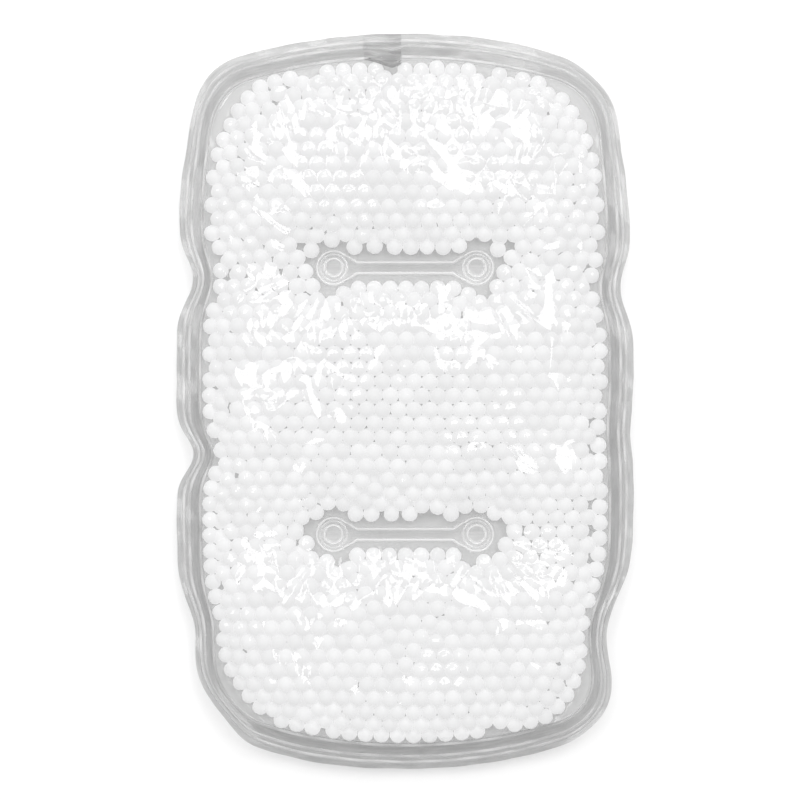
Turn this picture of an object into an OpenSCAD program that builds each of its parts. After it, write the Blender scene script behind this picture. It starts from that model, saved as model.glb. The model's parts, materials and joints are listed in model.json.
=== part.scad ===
// Gel bead hot and cold pack, used as an eye pillow or laid round a limb.
// Two clear films are fused round their rim and along two short fold welds.
// The sealed chamber between them is filled with soft gel beads, which can pass
// both ends of each fold weld, so the pack bends as three panels.
// Origin: on the resting surface, under the middle of the pack.
// +X runs across the pack, +Y along it, and +Z up through the front film.

/* [Pack] */
// Length over the fused rim
pack_length = 190; // [170:1:220]
// Width over the fused rim
pack_width = 118; // [100:1:140]
// Radius of the outer corners
corner_radius = 22; // [16:1:26]
// Radius of the two bowed ends
end_radius = 160; // [140:5:240]

/* [Films and rim] */
// Thickness of each film
film_thickness = 0.4; // [0.3:0.05:0.6]
// Width of the fused band round the rim
edge_weld_width = 6.5; // [5.5:0.5:8]
// Height of the ridges that the welding die leaves
ridge_height = 0.3; // [0.2:0.05:0.5]
// Width of those ridges
ridge_width = 0.8; // [0.6:0.1:1.2]
// Distance of the outer ridge from the rim
ridge_margin = 1.4; // [1:0.1:1.8]
// Number of ridges round the rim
ridge_count = 3; // [2:1:3]

/* [Bead fill] */
// Height of the filled front above the seam
front_rise = 8; // [5:0.5:8.5]
// Depth of the filled back below the seam
back_depth = 5; // [3:0.5:6]
// Distance from a weld at which the films reach their full spread
dome_run = 16; // [13:1:19]
// Diameter of one gel bead
bead_diameter = 4.2; // [3:0.1:5]
// Gap between the fill and the films
fill_clearance = 0.1; // [0.05:0.05:0.3]

/* [Fold welds] */
// Distance between the two fold lines
fold_spacing = 69; // [60:1:74]
// Distance between the two end rings of a fold weld
ring_spacing = 37; // [28:1:44]
// Width of a fold weld's bar
bar_width = 3.6; // [3:0.1:5]
// Diameter of its end rings
ring_diameter = 9.4; // [8:0.1:10]
// Diameter of the small raised circle inside each end ring
eye_diameter = 4.8; // [3.5:0.1:5.5]
// Distance that the bending strip runs past an end ring and the beads against it
strip_margin = 0.2; // [0.1:0.1:1]
// Share of the height lost in the necks beside a fold weld
neck_dip = 0.3; // [0.2:0.05:0.5]

/* [Fill port] */
// Width of the port through which the pack was filled
port_width = 10; // [8:0.5:14]
// Distance of the port from the middle of the top edge
port_offset = 6; // [0:0.5:10]
// Thickness that the closing weld loses on each side
port_recess = 0.15; // [0.05:0.05:0.2]

/* [Hidden] */

$fn = 96;
columns = 20;        // grid steps across the pack
panel_rows = 9;      // grid steps along the centre panel
fold_rows = 5;       // grid steps along a fold strip
straight_rows = 4;   // grid steps along an end panel's straight sides
arc_rows = 6;        // grid steps round an end panel's corners
through = 1;         // how far a cutter runs past what it cuts
least_fill = 0.05;   // least height of a fill on each side of the seam

seam_z = back_depth + film_thickness;
fold_y = fold_spacing / 2;
fill_inset = bead_diameter / 2;
fold_zone = ring_diameter + 2 * (fill_inset + strip_margin);
chamber_half_width = pack_width / 2 - edge_weld_width;
chamber_half_length = pack_length / 2 - edge_weld_width;
chamber_radius = corner_radius - edge_weld_width;
end_bow_radius = end_radius - edge_weld_width;
end_centre = end_radius - pack_length / 2;
corner_x = pack_width / 2 - corner_radius;
corner_sweep = acos(corner_x / (end_radius - corner_radius));
corner_y = (end_radius - corner_radius) * sin(corner_sweep) - end_centre;
ridge_pitch = (edge_weld_width - 2 * ridge_margin) / (ridge_count - 1);

film_colour = [0.86, 0.88, 0.90];
tinted_film_colour = [0.72, 0.73, 0.74];
bead_colour = [0.97, 0.98, 0.98];
weld_colour = [0.78, 0.79, 0.80];

// ---- Shape of the filled pack ----

// Distance from a point in the chamber to the edge weld
function edge_gap(x, y) =
    let (dx = abs(x) - corner_x,
         dy = abs(y) - corner_y,
         in_corner = dy > 0 && dx * sin(corner_sweep) > dy * cos(corner_sweep))
    in_corner
        ? chamber_radius - norm([dx, dy])
        : min(chamber_half_width - abs(x), end_bow_radius - norm([x, abs(y) + end_centre]));

// Distance from a point to the outline of the nearer fold weld
function fold_gap(x, y) =
    let (dx = abs(x) - ring_spacing / 2, dy = abs(y) - fold_y)
    min(norm([max(dx, 0), dy]) - bar_width / 2, norm([dx, dy]) - ring_diameter / 2);

// Rises from 0 at a weld to 1 where the film is at full spread
function swell(gap) = sin(90 * min(1, max(0, gap / dome_run)));

// Dips across the pack along each fold line, and is 1 elsewhere
function neck(y) =
    let (away = min(1, abs(abs(y) - fold_y) / dome_run))
    1 - neck_dip * (1 + cos(180 * away)) / 2;

// Share of the full spread that the films have at a point
function fullness(x, y) = swell(edge_gap(x, y)) * swell(fold_gap(x, y)) * neck(y);

// Undersides and outsides of both films
front_inside = function (x, y) seam_z + front_rise * fullness(x, y);
front_outside = function (x, y) front_inside(x, y) + film_thickness;
back_inside = function (x, y) seam_z - back_depth * fullness(x, y);
back_outside = function (x, y) back_inside(x, y) - film_thickness;
fill_top = function (x, y) max(seam_z + least_fill, front_inside(x, y) - fill_clearance);
fill_bottom = function (x, y) min(seam_z - least_fill, back_inside(x, y) + fill_clearance);

// How far an end bows out past its corners, at a share u of its half width
function end_bow(u) =
    let (half = end_bow_radius * cos(corner_sweep))
    sqrt(end_bow_radius * end_bow_radius - u * u * half * half) - end_bow_radius * sin(corner_sweep);

// Rows of the grid, each as its y at the sides, its half width and its share of the end's bow
function straight_rows_between(low, high, steps) =
    [for (i = [0:steps]) [low + (high - low) * i / steps, chamber_half_width, 0]];
centre_rows = straight_rows_between(-fold_y + fold_zone / 2, fold_y - fold_zone / 2, panel_rows);
fold_strip_rows = straight_rows_between(fold_y - fold_zone / 2, fold_y + fold_zone / 2, fold_rows);
corner_rows = [
    for (i = [1:arc_rows])
        let (turn = corner_sweep * i / arc_rows)
        [corner_y + chamber_radius * sin(turn), corner_x + chamber_radius * cos(turn), i / arc_rows]
];
end_panel_rows = concat(
    straight_rows_between(fold_y + fold_zone / 2, corner_y, straight_rows),
    corner_rows
);

// Closed body between two height functions, over the given rows of the chamber
module blanket(rows, low, high) {
    width = columns + 1;
    last = len(rows) - 1;
    layer = width * len(rows);
    plan = [
        for (row = rows)
            for (c = [0:columns])
                let (u = 2 * c / columns - 1)
                [row[1] * u, row[0] + row[2] * end_bow(u)]
    ];
    points = concat(
        [for (p = plan) [p.x, p.y, low(p.x, p.y)]],
        [for (p = plan) [p.x, p.y, high(p.x, p.y)]]
    );
    cells = [for (r = [0:last - 1]) for (c = [0:columns - 1]) r * width + c];
    bottom = [for (a = cells) each [[a, a + 1, a + width], [a + 1, a + width + 1, a + width]]];
    top = [for (f = bottom) [f[2] + layer, f[1] + layer, f[0] + layer]];
    rim = concat(
        [for (c = [0:columns - 1]) c],
        [for (r = [0:last - 1]) r * width + columns],
        [for (c = [columns:-1:1]) last * width + c],
        [for (r = [last:-1:1]) r * width]
    );
    sides = [
        for (i = [0:len(rim) - 1])
            let (a = rim[i], b = rim[(i + 1) % len(rim)])
            each [[b, a, a + layer], [b, a + layer, b + layer]]
    ];
    polyhedron(points = points, faces = concat(bottom, top, sides), convexity = 6);
}

// ---- Outlines ----

// Outline of the pack, with bowed ends and round corners, drawn in by inset all round
module pack_outline(inset) {
    bow = end_radius - inset;
    square([pack_width - 2 * inset, 2 * corner_y], center = true);
    intersection() {
        square([2 * bow * cos(corner_sweep), pack_length], center = true);
        translate([0, -end_centre]) circle(r = bow, $fn = 4 * $fn);
        translate([0, end_centre]) circle(r = bow, $fn = 4 * $fn);
    }
    for (sx = [-1, 1])
        for (sy = [-1, 1])
            translate([sx * corner_x, sy * corner_y]) circle(r = corner_radius - inset);
}

// Band between two insets of the pack's outline
module rim_band(outer, inner) {
    difference() {
        pack_outline(outer);
        pack_outline(inner);
    }
}

// Bar with a round pad at each end, grown by margin all round
module fold_outline(margin) {
    square([ring_spacing, bar_width + 2 * margin], center = true);
    for (side = [-1, 1])
        translate([side * ring_spacing / 2, 0]) circle(d = ring_diameter + 2 * margin);
}

// ---- Welds ----

// Stretch of the fused rim between two y values, with the die's ridges on its front
module edge_weld(low_y, high_y) {
    color(weld_colour) intersection() {
        union() {
            translate([0, 0, seam_z - film_thickness])
                linear_extrude(2 * film_thickness) rim_band(0, edge_weld_width);
            for (i = [0:ridge_count - 1])
                translate([0, 0, seam_z])
                    linear_extrude(film_thickness + ridge_height)
                        rim_band(ridge_margin + i * ridge_pitch - ridge_width / 2,
                                 ridge_margin + i * ridge_pitch + ridge_width / 2);
        }
        translate([-pack_width, low_y, 0]) cube([2 * pack_width, high_y - low_y, 2 * seam_z]);
    }
}

// Room for the fill port's closing weld, drawn in by gap at both sides
module port_block(gap) {
    translate([-port_offset - port_width / 2 + gap, chamber_half_length - 2 * through, 0])
        cube([port_width - 2 * gap, edge_weld_width + 3 * through, 2 * seam_z]);
}

module end_edge_weld() {
    edge_weld(fold_y + fold_zone / 2, pack_length / 2 + through);
}

// Raised line round the inside of a fold weld's pad, or round its eye
module ring_ridge(diameter) {
    difference() {
        cylinder(d = diameter, h = film_thickness + ridge_height);
        translate([0, 0, -through])
            cylinder(d = diameter - 2 * ridge_width, h = film_thickness + ridge_height + 2 * through);
    }
}

module fold_weld() {
    bar_ridge = [ring_spacing - ring_diameter, ridge_width, film_thickness + ridge_height];
    color(weld_colour) translate([0, fold_y, seam_z]) {
        translate([0, 0, -film_thickness]) linear_extrude(2 * film_thickness) fold_outline(0);
        for (side = [-1, 1]) {
            translate([side * ring_spacing / 2, 0, 0]) {
                ring_ridge(ring_diameter);
                ring_ridge(eye_diameter);
            }
            translate([-bar_ridge.x / 2, side * (bar_width - ridge_width) / 2 - ridge_width / 2, 0])
                cube(bar_ridge);
        }
    }
}

// Cutter with the fold weld's outline, grown by margin
module fold_cutter(margin) {
    translate([0, fold_y, -through])
        linear_extrude(seam_z + front_rise + film_thickness + 2 * through) fold_outline(margin);
}

// ---- Films and fill ----

module front_film(rows) {
    color(film_colour) blanket(rows, front_inside, front_outside);
}

module back_film(rows) {
    color(tinted_film_colour) blanket(rows, back_outside, back_inside);
}

module bead_fill(rows) {
    color(bead_colour) intersection() {
        blanket(rows, fill_bottom, fill_top);
        linear_extrude(2 * seam_z + front_rise) pack_outline(edge_weld_width + fill_inset);
    }
}

module fold_front_film() {
    difference() {
        front_film(fold_strip_rows);
        fold_cutter(0);
    }
}

module fold_back_film() {
    difference() {
        back_film(fold_strip_rows);
        fold_cutter(0);
    }
}

module fold_bead_fill() {
    difference() {
        bead_fill(fold_strip_rows);
        fold_cutter(fill_inset);
    }
}

// The lower half repeats the upper half, turned over along the pack
module lower_half() {
    mirror([0, 1, 0]) children();
}

// ---- Nodes ----

module upper_front_film() { front_film(end_panel_rows); }
module upper_back_film() { back_film(end_panel_rows); }
module upper_bead_fill() { bead_fill(end_panel_rows); }

module upper_edge_weld() {
    color(weld_colour) difference() {
        end_edge_weld();
        port_block(0);
    }
}

module fill_port_seal() {
    color(weld_colour) intersection() {
        translate([0, 0, seam_z - film_thickness + port_recess])
            linear_extrude(2 * (film_thickness - port_recess)) rim_band(0, edge_weld_width);
        port_block(0);
    }
}

module centre_front_film() { front_film(centre_rows); }
module centre_back_film() { back_film(centre_rows); }
module centre_bead_fill() { bead_fill(centre_rows); }
module centre_edge_weld() { edge_weld(-fold_y + fold_zone / 2, fold_y - fold_zone / 2); }

module lower_front_film() { lower_half() upper_front_film(); }
module lower_back_film() { lower_half() upper_back_film(); }
module lower_bead_fill() { lower_half() upper_bead_fill(); }
module lower_edge_weld() { lower_half() end_edge_weld(); }

module upper_fold_weld() { fold_weld(); }
module upper_fold_front_film() { fold_front_film(); }
module upper_fold_back_film() { fold_back_film(); }
module upper_fold_bead_fill() { fold_bead_fill(); }
module upper_fold_edge_weld() { edge_weld(fold_y - fold_zone / 2, fold_y + fold_zone / 2); }

module lower_fold_weld() { lower_half() fold_weld(); }
module lower_fold_front_film() { lower_half() fold_front_film(); }
module lower_fold_back_film() { lower_half() fold_back_film(); }
module lower_fold_bead_fill() { lower_half() fold_bead_fill(); }
module lower_fold_edge_weld() { lower_half() upper_fold_edge_weld(); }

upper_front_film();
upper_back_film();
upper_bead_fill();
upper_edge_weld();
fill_port_seal();
centre_front_film();
centre_back_film();
centre_bead_fill();
centre_edge_weld();
lower_front_film();
lower_back_film();
lower_bead_fill();
lower_edge_weld();
upper_fold_weld();
upper_fold_front_film();
upper_fold_back_film();
upper_fold_bead_fill();
upper_fold_edge_weld();
lower_fold_weld();
lower_fold_front_film();
lower_fold_back_film();
lower_fold_bead_fill();
lower_fold_edge_weld();
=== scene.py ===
"""Gel bead eye pillow: a clear welded film pouch of soft white beads.

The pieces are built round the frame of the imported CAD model. Sizes in the classes are in
millimetres unless they say otherwise, and MM turns them to metres where a mesh is made.
"""

import json
import logging
import math
from dataclasses import dataclass
from enum import Enum

import bpy
import numpy as np
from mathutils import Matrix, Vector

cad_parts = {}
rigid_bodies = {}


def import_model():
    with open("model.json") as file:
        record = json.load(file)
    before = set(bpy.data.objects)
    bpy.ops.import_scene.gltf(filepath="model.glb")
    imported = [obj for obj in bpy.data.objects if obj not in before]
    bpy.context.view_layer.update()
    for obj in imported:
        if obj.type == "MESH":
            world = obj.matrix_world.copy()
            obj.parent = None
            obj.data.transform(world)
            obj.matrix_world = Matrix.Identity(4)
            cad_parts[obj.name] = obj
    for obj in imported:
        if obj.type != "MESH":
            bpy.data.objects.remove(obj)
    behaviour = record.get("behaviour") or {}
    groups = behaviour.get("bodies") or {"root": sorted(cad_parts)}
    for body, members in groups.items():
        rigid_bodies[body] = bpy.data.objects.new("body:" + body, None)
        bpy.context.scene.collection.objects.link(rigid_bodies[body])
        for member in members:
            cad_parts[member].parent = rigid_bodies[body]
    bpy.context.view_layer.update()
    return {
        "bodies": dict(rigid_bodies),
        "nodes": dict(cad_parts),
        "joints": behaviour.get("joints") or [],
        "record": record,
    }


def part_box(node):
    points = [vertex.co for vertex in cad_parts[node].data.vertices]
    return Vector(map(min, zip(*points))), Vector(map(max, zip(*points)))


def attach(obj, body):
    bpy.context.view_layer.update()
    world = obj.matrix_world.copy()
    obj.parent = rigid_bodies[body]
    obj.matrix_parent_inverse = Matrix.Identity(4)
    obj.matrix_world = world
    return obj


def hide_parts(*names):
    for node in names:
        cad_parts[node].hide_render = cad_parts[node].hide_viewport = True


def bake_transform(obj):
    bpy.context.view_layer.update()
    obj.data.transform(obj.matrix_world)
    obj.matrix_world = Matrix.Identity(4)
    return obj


LOG = logging.getLogger("eye_pillow")
MM = 0.001
WHITE = "FFFFFF"
Array = np.ndarray


# ---- Small helpers ----


def hex_colour(code: str) -> tuple[float, float, float, float]:
    """Turns an sRGB hex colour to the linear colour that a shader takes.

    Args:
        code: Six hex digits, such as "F2F4F5".

    Returns:
        Linear red, green and blue, and an alpha of 1.
    """
    parts = [int(code[i : i + 2], 16) / 255 for i in (0, 2, 4)]
    linear = [c / 12.92 if c <= 0.04045 else ((c + 0.055) / 1.055) ** 2.4 for c in parts]
    return (linear[0], linear[1], linear[2], 1.0)


def smoothstep(value: Array) -> Array:
    """Eases from 0 to 1 as value goes from 0 to 1."""
    t = np.clip(value, 0, 1)
    return t * t * (3 - 2 * t)


def deselect_all() -> None:
    """Leaves edit mode and deselects every object."""
    if bpy.context.mode != "OBJECT":
        bpy.ops.object.mode_set(mode="OBJECT")
    bpy.ops.object.select_all(action="DESELECT")


def grid_piece(name: str, points: Array) -> bpy.types.Object:
    """Adds a flat grid and moves its vertices to their places, row by row.

    Args:
        name: Name of the piece.
        points: Places in millimetres, as rows x columns x 3.

    Returns:
        The new mesh object, at the origin.
    """
    rows, columns = points.shape[:2]
    deselect_all()
    bpy.ops.mesh.primitive_grid_add(
        x_subdivisions=columns - 1, y_subdivisions=rows - 1, size=1, calc_uvs=True
    )
    piece = bpy.context.active_object
    piece.name = piece.data.name = name
    piece.data.vertices.foreach_set("co", (points.reshape(-1) * MM).astype(np.float32))
    piece.data.update()
    return piece


def apply_modifier(piece: bpy.types.Object, kind: str, **settings: object) -> None:
    """Adds a modifier with its settings and applies it.

    Args:
        piece: The mesh object.
        kind: Blender's name for the modifier.
        settings: Its properties by name.
    """
    deselect_all()
    piece.select_set(True)
    bpy.context.view_layer.objects.active = piece
    modifier = piece.modifiers.new(kind.title(), kind)
    for key, value in settings.items():
        setattr(modifier, key, value)
    bpy.ops.object.modifier_apply(modifier=modifier.name)


def shade_smooth(piece: bpy.types.Object, angle: float = 180.0) -> None:
    """Shades a piece smooth across edges flatter than an angle.

    Args:
        piece: The mesh object.
        angle: Sharpest edge to smooth, in degrees.
    """
    deselect_all()
    piece.select_set(True)
    bpy.context.view_layer.objects.active = piece
    if angle >= 180:
        bpy.ops.object.shade_smooth()
    else:
        bpy.ops.object.shade_smooth_by_angle(angle=math.radians(angle))


def read_vertices(mesh: bpy.types.Mesh) -> Array:
    """Reads the places of a mesh's vertices.

    Args:
        mesh: The mesh.

    Returns:
        The places, as count x 3.
    """
    places = np.zeros(len(mesh.vertices) * 3)
    mesh.vertices.foreach_get("co", places)
    return places.reshape(-1, 3)


def store_values(piece: bpy.types.Object, name: str, values: Array) -> None:
    """Stores one value for each vertex of a piece, which its material reads.

    Args:
        piece: The mesh object.
        name: Name of the attribute.
        values: The values, in the order of the vertices.
    """
    store = piece.data.attributes.new(name, "FLOAT", "POINT")
    store.data.foreach_set("value", values.astype(np.float32).ravel())


def stretch_uvs(piece: bpy.types.Object, along: float, across: float) -> None:
    """Names a grid piece's UV map and stretches it to its real size.

    Args:
        piece: The grid piece.
        along: Length that U covers, in millimetres.
        across: Length that V covers, in millimetres.
    """
    layer = piece.data.uv_layers[0]
    layer.name = "UVMap"
    place = np.zeros(len(layer.data) * 2, np.float32)
    layer.data.foreach_get("uv", place)
    place = place.reshape(-1, 2)
    place[:, 0] *= along * MM
    place[:, 1] *= across * MM
    layer.data.foreach_set("uv", place.ravel())


def add_node(
    tree: bpy.types.NodeTree, kind: str, links: dict[str, object] | None = None, **settings: object
) -> bpy.types.Node:
    """Adds a node with its settings and links.

    Args:
        tree: The material's node tree.
        kind: Blender's type name of the node.
        links: What feeds each input: a socket, or a plain value, by input name or number.
        settings: Properties of the node by name.

    Returns:
        The new node.
    """
    node = tree.nodes.new(kind)
    for key, value in settings.items():
        setattr(node, key, value)
    for key, source in (links or {}).items():
        socket = node.inputs[key]
        if isinstance(source, bpy.types.NodeSocket):
            tree.links.new(source, socket)
        else:
            socket.default_value = source
    return node


def new_material(name: str) -> tuple[bpy.types.Material, bpy.types.NodeTree, bpy.types.Node]:
    """Makes an empty material.

    Args:
        name: The real material's name.

    Returns:
        The material, its node tree and its output node.
    """
    material = bpy.data.materials.new(name)
    material.use_nodes = True
    tree = material.node_tree
    tree.nodes.clear()
    return material, tree, tree.nodes.new("ShaderNodeOutputMaterial")


def add_gloss(
    tree: bpy.types.NodeTree,
    body: bpy.types.Node,
    bump: bpy.types.Node,
    ior: float,
    roughness: float,
) -> bpy.types.Node:
    """Lays a shine over a see-through body, as strong as a smooth skin of that IOR gives.

    The share is worked out from Layer Weight, not from the Fresnel node, because that node
    takes the far side of a thin clear solid for a mirror and turns the rim black at low angles.

    Args:
        tree: The material's node tree.
        body: The shader under the shine.
        bump: The node whose normal the shine follows.
        ior: The film's index of refraction.
        roughness: Roughness of the shine.

    Returns:
        The mixed shader.
    """
    head_on = ((ior - 1) / (ior + 1)) ** 2
    facing = add_node(tree, "ShaderNodeLayerWeight", {"Blend": 0.5, "Normal": bump.outputs[0]})
    graze = add_node(
        tree, "ShaderNodeMath", {0: facing.outputs["Facing"], 1: 5.0}, operation="POWER"
    )
    share = add_node(
        tree,
        "ShaderNodeMath",
        {0: graze.outputs[0], 1: 1 - head_on, 2: head_on},
        operation="MULTIPLY_ADD",
    )
    shine = add_node(
        tree,
        "ShaderNodeBsdfGlossy",
        {"Color": hex_colour(WHITE), "Roughness": roughness, "Normal": bump.outputs[0]},
    )
    return add_node(
        tree, "ShaderNodeMixShader", {0: share.outputs[0], 1: body.outputs[0], 2: shine.outputs[0]}
    )


# ---- Finishes ----


@dataclass(frozen=True)
class VinylFilm:
    """Calendered PVC film, rolled glassy between polished rolls.

    The eye sees through it to what lies behind, slightly greyed, and its shine is sharp and
    white but broken into small pieces by the fine crinkles of a soft film.
    """

    name: str
    tint: str
    milk: float = 0.0
    milk_tone: str = "D8D8D8"
    ior: float = 1.53
    roughness: float = 0.06
    crinkle_mm: float = 3.2
    crinkle_depth_mm: float = 0.02

    def build(self) -> bpy.types.Material:
        """Makes the material: a tinted see-through body, milk in it, and a shine.

        Returns:
            The material.
        """
        material, tree, output = new_material(self.name)
        place = add_node(tree, "ShaderNodeTexCoord")
        size = 1 / (self.crinkle_mm * MM)
        crinkle = add_node(
            tree,
            "ShaderNodeTexNoise",
            {"Vector": place.outputs["Object"], "Scale": size, "Detail": 2.0, "Distortion": 0.6},
        )
        bump = add_node(
            tree,
            "ShaderNodeBump",
            {
                "Height": crinkle.outputs[0],
                "Distance": self.crinkle_depth_mm * MM,
                "Strength": 1.0,
            },
        )
        through = add_node(tree, "ShaderNodeBsdfTransparent", {"Color": hex_colour(self.tint)})
        haze = add_node(tree, "ShaderNodeBsdfDiffuse", {"Color": hex_colour(self.milk_tone)})
        body = add_node(
            tree,
            "ShaderNodeMixShader",
            {0: self.milk, 1: through.outputs[0], 2: haze.outputs[0]},
        )
        mix = add_gloss(tree, body, bump, self.ior, self.roughness)
        tree.links.new(mix.outputs[0], output.inputs["Surface"])
        return material


@dataclass(frozen=True)
class FusedVinyl:
    """Heat-fused PVC: two films melted into one grey see-through band by a hot die.

    The die draws the melt into fine streaks along the weld. The lines that it presses hardest
    are painted whiter, a painted highlight for the light that these raised lines catch; the
    piece's own attribute says where.
    The band is a closed solid that a view ray crosses at two faces or more, so its tint is
    set nearer to white than the grey that the eye sees.
    """

    name: str
    tint: str
    streak_tint: str
    streak_mm: float
    streak_depth_mm: float
    milk: float
    frost: float
    milk_tone: str = "F4F4F4"
    ior: float = 1.32
    roughness: float = 0.1
    streak_stretch: float = 30

    def build(self) -> bpy.types.Material:
        """Makes the material. Its streaks follow the piece's UV map, whose U runs along the weld.

        Returns:
            The material.
        """
        material, tree, output = new_material(self.name)
        place = add_node(tree, "ShaderNodeUVMap", uv_map="UVMap")
        size = (1 / (self.streak_stretch * self.streak_mm * MM), 1 / (self.streak_mm * MM), 1.0)
        stretch = add_node(
            tree, "ShaderNodeMapping", {"Vector": place.outputs[0], "Scale": size}
        )
        streaks = add_node(
            tree,
            "ShaderNodeTexNoise",
            {"Vector": stretch.outputs[0], "Scale": 1.0, "Detail": 3.0},
        )
        bump = add_node(
            tree,
            "ShaderNodeBump",
            {"Height": streaks.outputs[0], "Distance": self.streak_depth_mm * MM, "Strength": 1.0},
        )
        tones = add_node(tree, "ShaderNodeValToRGB", {"Fac": streaks.outputs[0]})
        dark, light = tones.color_ramp.elements
        dark.position, dark.color = 0.35, hex_colour(self.streak_tint)
        light.position, light.color = 0.65, hex_colour(self.tint)
        through = add_node(tree, "ShaderNodeBsdfTransparent", {"Color": tones.outputs[0]})
        haze = add_node(tree, "ShaderNodeBsdfDiffuse", {"Color": hex_colour(self.milk_tone)})
        # Painted highlight of the raised lines: more diffuse white where the attribute is high.
        die = add_node(tree, "ShaderNodeAttribute", attribute_name="frost")
        amount = add_node(
            tree,
            "ShaderNodeMath",
            {0: die.outputs["Fac"], 1: self.frost, 2: self.milk},
            operation="MULTIPLY_ADD",
        )
        body = add_node(
            tree,
            "ShaderNodeMixShader",
            {0: amount.outputs[0], 1: through.outputs[0], 2: haze.outputs[0]},
        )
        mix = add_gloss(tree, body, bump, self.ior, self.roughness)
        tree.links.new(mix.outputs[0], output.inputs["Surface"])
        return material


@dataclass(frozen=True)
class UnbrokenVinyl:
    """Inside of the fused film where two runs of it meet.

    The melt runs on unbroken there, so the eye sees nothing of these faces.
    """

    name: str = "Unbroken fused PVC"

    def build(self) -> bpy.types.Material:
        """Makes the material.

        Returns:
            The material.
        """
        material, tree, output = new_material(self.name)
        clear = add_node(tree, "ShaderNodeBsdfTransparent")
        tree.links.new(clear.outputs[0], output.inputs["Surface"])
        return material


@dataclass(frozen=True)
class GelBead:
    """Swollen polyacrylate gel: cloudy white balls, cast by soaking dry grains in water.

    The eye sees a soft, nearly shadeless white that differs a little from bead to bead. The
    beads glow though they are no lamp: the emission is painted light, which stands for the
    light that passes on from bead to bead through the cloudy gel and lifts the shade between them.
    """

    name: str = "Swollen polyacrylate gel"
    pale: str = "A0A0A1"
    dull: str = "929293"
    roughness: float = 0.55
    glow: float = 0.58

    def build(self) -> bpy.types.Material:
        """Makes the material. Each bead's tone comes from the piece's own attribute.

        Returns:
            The material.
        """
        material, tree, output = new_material(self.name)
        tone = add_node(tree, "ShaderNodeAttribute", attribute_name="bead_tone")
        colour = add_node(tree, "ShaderNodeValToRGB", {"Fac": tone.outputs["Fac"]})
        colour.color_ramp.elements[0].color = hex_colour(self.dull)
        colour.color_ramp.elements[1].color = hex_colour(self.pale)
        gel = add_node(
            tree,
            "ShaderNodeBsdfPrincipled",
            {
                "Base Color": colour.outputs[0],
                "Roughness": self.roughness,
                "IOR": 1.36,
                # Painted glow: emission that stands in for the light passed on through the cloudy
                # gel.
                "Emission Color": hex_colour(WHITE),
                "Emission Strength": self.glow,
            },
        )
        tree.links.new(gel.outputs[0], output.inputs["Surface"])
        return material


@dataclass(frozen=True)
class StudioSweep:
    """Matt white card under the pack, which reads as pure white."""

    name: str = "White card"
    colour: str = "FBFBFB"

    def build(self) -> bpy.types.Material:
        """Makes the material.

        Returns:
            The material.
        """
        material, tree, output = new_material(self.name)
        card = add_node(
            tree,
            "ShaderNodeBsdfPrincipled",
            {"Base Color": hex_colour(self.colour), "Roughness": 0.9},
        )
        tree.links.new(card.outputs[0], output.inputs["Surface"])
        return material


# ---- Shape of the filled pack ----


class Side(Enum):
    """Long sides of the pack, by the sign of x."""

    LEFT = -1
    RIGHT = 1
    BOTH = 0


class Half(Enum):
    """Halves of the pack, by the sign of y."""

    UPPER = 1
    LOWER = -1

    @property
    def word(self) -> str:
        """Its word in the names of pieces, nodes and bodies."""
        return self.name.lower()


@dataclass(frozen=True)
class Pinch:
    """A place where the limp rim draws in, in millimetres."""

    side: Side
    y: float
    depth: float
    spread: float


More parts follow.
